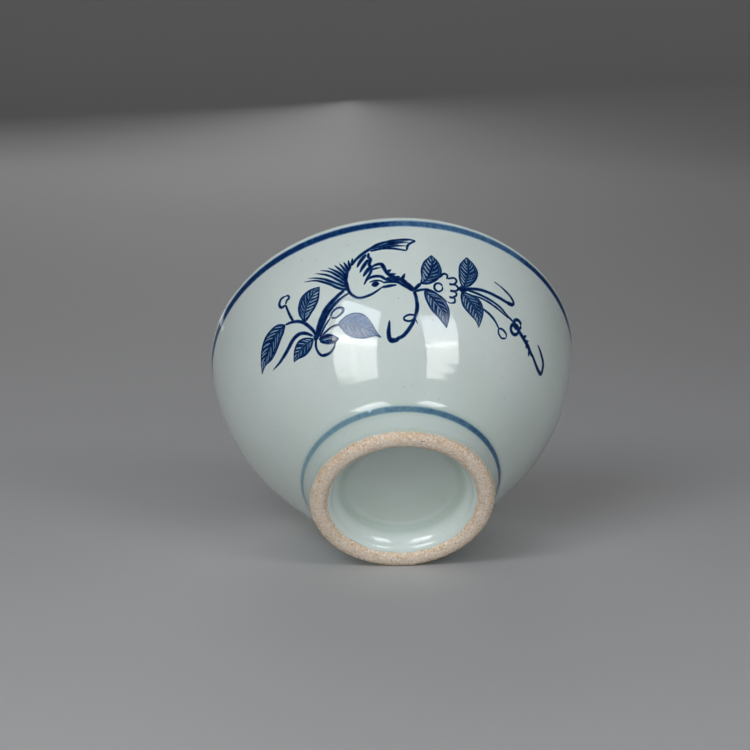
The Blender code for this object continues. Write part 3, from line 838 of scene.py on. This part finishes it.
def paint_middle():
    leaf = Painting("leaf_middle_up")
    leaf.leaf([(8.0, 30.2), (8.3, 31.6), (8.2, 33.7), (8.7, 35.7), (10.3, 38.0)],
              [(8.0, 30.2), (9.6, 30.3), (11.3, 31.3), (12.3, 32.7), (12.5, 34.3), (11.7, 36.4),
               (10.3, 38.0)],
              veins=7, seed=4)
    leaf.line([(6.4, 28.3), (7.2, 29.3), (8.1, 30.3)], 0.7, 0.9, 0.7)
    leaf.finish()
    bloom = Painting("blossom")
    bloom.circle((12.2, 29.7), 2.0, 2.1, 0.45)
    for petal in ([(12.3, 32.2), (13.2, 33.4), (14.1, 33.2), (14.0, 32.1)],
                  [(14.2, 32.3), (15.7, 32.9), (16.4, 32.2), (15.8, 31.3), (14.6, 31.2)],
                  [(14.7, 30.9), (16.2, 31.2), (17.0, 30.4), (16.4, 29.7), (15.0, 29.6)],
                  [(15.0, 29.3), (16.4, 29.4), (16.7, 28.6), (15.8, 27.9), (14.9, 28.0)],
                  [(15.0, 27.6), (16.3, 27.8), (16.5, 26.8), (15.4, 26.3), (14.7, 26.6)]):
        bloom.line(petal, 0.45, 0.8, 0.5)
    bloom.line([(6.6, 28.1), (8.8, 28.7), (10.8, 28.4), (12.9, 27.4), (14.7, 26.4)], 0.55, 0.9, 0.5)
    bloom.line([(9.6, 30.2), (11.0, 31.4), (12.3, 32.2)], 0.4, 0.8, 0.5)
    bloom.finish()
    Painting("leaf_middle_down").leaf(
        [(8.9, 28.3), (10.5, 28.4), (11.9, 28.0), (13.5, 26.9), (14.7, 25.7), (15.4, 24.1), (15.5, 22.1),
         (15.4, 20.2)],
        [(8.9, 28.3), (9.5, 26.3), (11.1, 23.9), (13.0, 22.4), (15.4, 20.2)], veins=7, seed=5).finish()


def paint_right():
    Painting("leaf_right_up").leaf(
        [(18.2, 31.0), (17.4, 32.3), (17.0, 34.2), (17.0, 36.8), (18.4, 39.5)],
        [(18.2, 31.0), (19.7, 32.2), (20.9, 34.3), (21.1, 36.3), (20.1, 38.0),
         (18.4, 39.5)], veins=8, seed=6).finish()
    Painting("leaf_right_down").leaf(
        [(18.0, 29.8), (19.7, 29.8), (21.9, 29.5), (23.4, 28.5), (24.2, 26.8), (24.3, 24.7), (24.1, 22.7)],
        [(18.0, 29.8), (18.1, 28.4), (19.0, 26.5), (21.1, 25.1), (23.0, 24.0),
         (24.1, 22.7)], veins=8, seed=7).finish()
    stem = Painting("stem_right_up")
    stem.line([(18.9, 31.0), (22.2, 31.9), (24.6, 32.2), (27.6, 32.2), (30.1, 32.2), (31.8, 32.7),
               (31.5, 33.6),
               (30.0, 34.5), (27.8, 35.2), (25.6, 35.7)], 0.65, 0.8, 0.3)
    stem.line([(29.6, 32.1), (31.4, 32.4), (31.8, 33.1)], 0.9, 0.5, 0.5)
    stem.finish()
    stem = Painting("stem_right")
    stem.line([(17.0, 30.4), (18.2, 30.6), (19.4, 30.8)], 1.7, 0.7, 0.5)
    stem.line([(18.6, 30.8), (22.4, 30.7), (25.6, 30.5), (28.5, 30.0), (30.9, 29.1), (33.5, 28.5)], 0.5,
              0.9, 0.8)
    stem.line([(20.9, 29.9), (24.1, 29.9), (27.5, 29.4), (29.9, 28.9), (31.6, 28.6)], 0.45, 0.6, 0.4)
    stem.circle((34.6, 28.7), 2.4, 2.2, 0.75)
    stem.circle((34.3, 27.2), 2.5, 2.6, 0.75, 1.8)
    stem.line([(33.4, 28.6), (34.6, 28.0), (35.9, 27.4)], 0.9, 0.8, 0.8)
    stem.line([(35.2, 27.6), (37.6, 26.9), (39.3, 26.4), (41.3, 25.7), (43.0, 25.1)], 0.9, 0.8, 0.8)
    for thorn in ([(37.5, 26.8), (38.5, 28.1)], [(38.6, 26.4), (39.8, 27.4)], [(41.1, 25.8), (41.7, 24.2)],
                  [(39.6, 26.3), (39.9, 25.2)]):
        stem.line(thorn, 0.65, 1.0, 0.2)
    stem.finish()
    Painting("bud_stalk_right").line([(23.9, 27.6), (26.1, 27.0), (28.1, 26.1), (29.7, 24.9)], 0.5, 0.8,
                                     0.7).finish()
    bud = Painting("bud_right")
    bud.line([(29.6, 24.9), (30.8, 25.2), (32.3, 24.7), (32.7, 23.7)], 0.45, 0.8, 0.6)
    bud.line([(29.6, 24.9), (30.1, 23.8), (31.4, 23.2), (32.7, 23.7)], 0.45, 0.8, 0.6)
    bud.finish()
    Painting("hook_right").line([(42.0, 25.6), (44.6, 24.8), (47.2, 24.2), (48.9, 24.5), (48.0, 26.6),
                                 (45.6, 27.9), (43.0, 28.8)], 0.85, 0.5, 0.3).finish()


def painted_ring(name, node, middle, width, ink, seed, columns=900):
    """A line painted as the cup turned, so its width and strength drift round it."""
    angle = np.linspace(0, 2 * math.pi, columns, endpoint=False)
    side = (angle + math.pi) % (2 * math.pi) - math.pi
    drift = middle(side) + 0.08 * ring_noise(angle, 0.8, seed) + 0.04 * ring_noise(angle, 0.12, seed + 1)
    half = 0.5 * width(side) * (
        1 + 0.08 * ring_noise(angle, 0.3, seed + 2) + 0.04 * ring_noise(angle, 0.05, seed + 3))
    strength = ink(side) + 0.05 * ring_noise(angle, 0.35, seed + 4) + 0.03 * ring_noise(angle, 0.04,
                                                                                        seed + 5)
    across = np.array([-1.0, -0.8, -0.62, -0.4, 0.0, 0.4, 0.62, 0.8, 1.0])
    tone = np.array([0.0, 0.38, 0.80, 1.0, 0.96, 1.0, 0.80, 0.38, 0.0])
    rows, inks, pool = [], [], []
    top = [(part, shade, FRINGE + 0.02 * shade) for part, shade in zip(across, tone)]
    under = [(part, shade, -UNDER) for part, shade in zip(across[::-1], tone)]
    for part, shade, lift in top + under:
        s = (drift + part * half) * MM
        rows.append(on_wall(angle, s, lift * MM))
        inks.append(strength * shade)
        pool.append(gathered(s))
    make_object(name, np.concatenate(rows), ring_faces(len(rows), columns), COBALT, [node],
                {"ink": np.clip(np.concatenate(inks), 0, MOST_INK), "pool": np.concatenate(pool)}, sharp=40)


def height_to_length(height):
    """The length up the outside, from the top of the foot, at which the wall is this high."""
    wall = OUTSIDE.s < LIP_START
    return float(np.interp(height, OUTSIDE.points[wall, 1], OUTSIDE.s[wall]))


# ---- the scene

def viewpoint():
    """The photograph's camera: (place, right, up, back) about the middle of the cup."""
    back = Vector((0, -math.cos(VIEW_ELEVATION), math.sin(VIEW_ELEVATION)))
    right, up = Vector((1, 0, 0)), back.cross(Vector((1, 0, 0)))
    turn = Matrix.Rotation(VIEW_ROLL, 3, back)
    right, up = turn @ right, turn @ up
    centre = Vector((0, 0, VIEW_CENTRE))
    place = centre + back * VIEW_DISTANCE
    aim = centre + right * AIM_RIGHT + up * AIM_UP
    back = (place - aim).normalized()
    right = up.cross(back).normalized()
    return place, right, back.cross(right), back


def make_camera():
    place, right, up, back = viewpoint()
    data = bpy.data.cameras.new("camera")
    data.lens = LENS
    data.sensor_width = 36.0
    data.clip_start, data.clip_end = 0.01, 50
    camera = bpy.data.objects.new("camera", data)
    camera.matrix_world = Matrix.Translation(place) @ Matrix((right, up, back)).transposed().to_4x4()
    bpy.context.scene.collection.objects.link(camera)
    bpy.context.scene.camera = camera


def floor_frame():
    """Where the cup lies on its side: (a point of the floor, its normal, away, right)."""
    foot = np.array([FOOT_BOTTOM_RADIUS + 0.13 * MM, 0.8 * MM])
    wall = OUTSIDE.points[(OUTSIDE.s > 5 * MM) & (OUTSIDE.s < LIP_START)]
    slope = float(np.min(np.arctan2(wall[:, 1] - foot[1], wall[:, 0] - foot[0])))
    towards = Vector((math.sin(CONTACT_AZIMUTH), math.cos(CONTACT_AZIMUTH), 0))
    normal = towards * -math.sin(slope) + Vector((0, 0, math.cos(slope)))
    place = towards * foot[0] + Vector((0, 0, foot[1])) - normal * (0.15 * MM)
    back = viewpoint()[3]
    away = (-back + normal * back.dot(normal)).normalized()
    return place, normal, away, away.cross(normal)


def make_floor():
    """A wide floor that sweeps up far behind the cup."""
    place, normal, away, right = floor_frame()
    near, far, radius, tall = -1.1, 0.95, 0.45, 1.3
    profile = [(x, 0.0) for x in np.linspace(near, far, 24)]
    turns = np.linspace(0, math.pi / 2, 16)[1:]
    profile += [(far + radius * math.sin(a), radius - radius * math.cos(a)) for a in turns]
    profile += [(far + radius, radius + h) for h in np.linspace(0, tall, 8)[1:]]
    across = np.linspace(-1.5, 1.5, 25)
    points = [tuple(place + away * x + normal * y + right * w) for x, y in profile for w in across]
    mesh = bpy.data.meshes.new("floor")
    mesh.from_pydata(points, [], sheet_faces(len(profile), len(across)))
    if mesh.polygons[0].normal.dot(normal) < 0:
        mesh.flip_normals()
    mesh.shade_smooth()
    mesh.materials.append(floor_material())
    floor = bpy.data.objects.new("floor", mesh)
    bpy.context.scene.collection.objects.link(floor)
    floor.visible_shadow = False


def towards_light(azimuth, elevation):
    """A direction at an angle from the camera's side (+ to the right) and above the floor."""
    _, normal, away, right = floor_frame()
    a, e = math.radians(azimuth), math.radians(elevation)
    return (-away * math.cos(a) + right * math.sin(a)) * math.cos(e) + normal * math.sin(e)


PANEL_DISTANCE, PANEL_STEPS = 0.8, 36
LIGHT_DISTANCE = 1.0


def light_panel(name, corners, strength, top):
    """A studio soft box: a sheet between four directions (top left, top right, bottom right,
    bottom left), brighter along the seam and rib of its frame, and at its top bluer and as
    bright as top says. The camera sees only its reflection."""
    centre = Vector((0, 0, HEIGHT / 2))
    tl, tr, br, bl = (towards_light(*corner) for corner in corners)
    points, glow = [], []
    shares = np.linspace(0, 1, PANEL_STEPS + 1)
    for v in shares:
        for u in shares:
            spot = ((bl * (1 - u) + br * u) * (1 - v) + (tl * (1 - u) + tr * u) * v).normalized()
            points.append(tuple(centre + spot * PANEL_DISTANCE))
            level = float(np.interp(v, [0, 0.27, 0.32, 0.37, 0.8, 1], [0.62, 0.68, 0.78, 0.63, 0.60, top]))
            seam = 0.62 * math.exp(-((v - 0.32) / 0.028) ** 2)
            rib = 0.14 * math.exp(-((u - 0.45) / 0.05) ** 2) * (1 - float(ease(v, 0.25, 0.4)))
            lamp = 0.14 * math.exp(-((u - 0.5) / 0.28) ** 2 - ((v - 0.30) / 0.12) ** 2)
            cool = float(ease(v, 0.3, 0.7))
            tint = (1.01 - 0.10 * cool, 1.0, 0.99 + 0.14 * cool, 1)
            glow.append([(level + seam + rib + lamp) * c for c in tint])
    mesh = bpy.data.meshes.new(name)
    mesh.from_pydata(points, [], sheet_faces(len(shares), len(shares)))
    if mesh.polygons[0].normal.dot(centre - Vector(points[0])) < 0:
        mesh.flip_normals()
    mesh.shade_smooth()
    glowing = mesh.attributes.new("glow", "FLOAT_COLOR", "POINT")
    glowing.data.foreach_set("color", np.array(glow, np.float32).ravel())
    material, tree, shader = new_material(name)
    side = tree.nodes.new("ShaderNodeNewGeometry")
    emit = tree.nodes.new("ShaderNodeEmission")
    lit = math_node(tree, "SUBTRACT", 1.0, side.outputs["Backfacing"])
    tree.links.new(math_node(tree, "MULTIPLY", lit, strength), emit.inputs["Strength"])
    tree.links.new(attribute(tree, "glow", "Color"), emit.inputs["Color"])
    tree.links.new(emit.outputs["Emission"], tree.nodes["Material Output"].inputs["Surface"])
    mesh.materials.append(material)
    panel = bpy.data.objects.new(name, mesh)
    bpy.context.scene.collection.objects.link(panel)
    panel.visible_camera = False


def soft_light(name, towards, size, radiance, mirrored=True):
    """A plain square fill light facing the cup, given by how bright its surface is."""
    data = bpy.data.lights.new(name, "AREA")
    data.shape = "SQUARE"
    data.size = size
    data.energy = radiance * math.pi * size * size
    light = bpy.data.objects.new(name, data)
    turn = Vector(towards).normalized().to_track_quat("Z", "Y").to_matrix().to_4x4()
    light.matrix_world = Matrix.Translation(
        Vector((0, 0, HEIGHT / 2)) + Vector(towards).normalized() * LIGHT_DISTANCE) @ turn
    light.visible_camera = False
    light.visible_glossy = mirrored
    bpy.context.scene.collection.objects.link(light)


def make_world(strength, seen):
    """Even light of one strength, and another where the camera sees it past the floor."""
    world = bpy.data.worlds.new("studio")
    world.use_nodes = True
    tree = world.node_tree
    ray = tree.nodes.new("ShaderNodeLightPath").outputs["Is Camera Ray"]
    tree.nodes["Background"].inputs["Color"].default_value = (1.0, 1.0, 1.0, 1.0)
    tree.links.new(span(tree, ray, 0, 1, strength, seen), tree.nodes["Background"].inputs["Strength"])
    bpy.context.scene.world = world


# ---- build it all

glazed_outside()
glazed_inside()
glazed_well()
bare_ring()
paint_left()
paint_bird()
paint_middle()
paint_right()

RIM_LINE_BELOW_TOP = 2.7 * MM
rim_middle = height_to_length(HEIGHT - RIM_LINE_BELOW_TOP) / MM
painted_ring("painted_rim_line", "rim_line",
             lambda a: rim_middle - 0.15 + 0.18 * ease(a, -0.25, 0.15) * (1 - ease(a, 1.6, 3.0)),
             lambda a: 2.55 - 0.2 * ease(np.cos(a - 0.4), 0.6, 1.0),
             lambda a: 0.84 - 0.24 * ease(a, -0.06, 0.10) * (1 - ease(a, 0.65, 1.0)), 41)
painted_ring("painted_foot_line", "foot_line", lambda a: 0.02 - 0.18 * np.sin(a),
             lambda a: 1.95 + 0.15 * np.sin(a), lambda a: 0.42 + 0.16 * np.sin(a), 51)

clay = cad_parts["bowl_body"]
clay.data.materials.clear()
clay.data.materials.append(CLAY)

make_camera()
make_floor()
light_panel("soft_box_left", [(-42, 44), (-9.5, 43.5), (-15.5, 31), (-46.5, 19.5)], 10.6, 0.66)
light_panel("soft_box_right", [(20, 41.5), (46, 37), (50.5, 22.5), (27.5, 30)], 10.4, 0.24)
soft_light("fill_behind", (-0.47, 0.67, 0.57), 0.8, 1.3)
soft_light("fill_above", (-0.1, 0.15, 0.98), 0.6, 0.8)
soft_light("fill_front", (0.0, -0.85, -0.52), 0.9, 1.35, mirrored=False)
make_world(0.06, 0.34)
bpy.context.scene.view_settings.view_transform = "Standard"
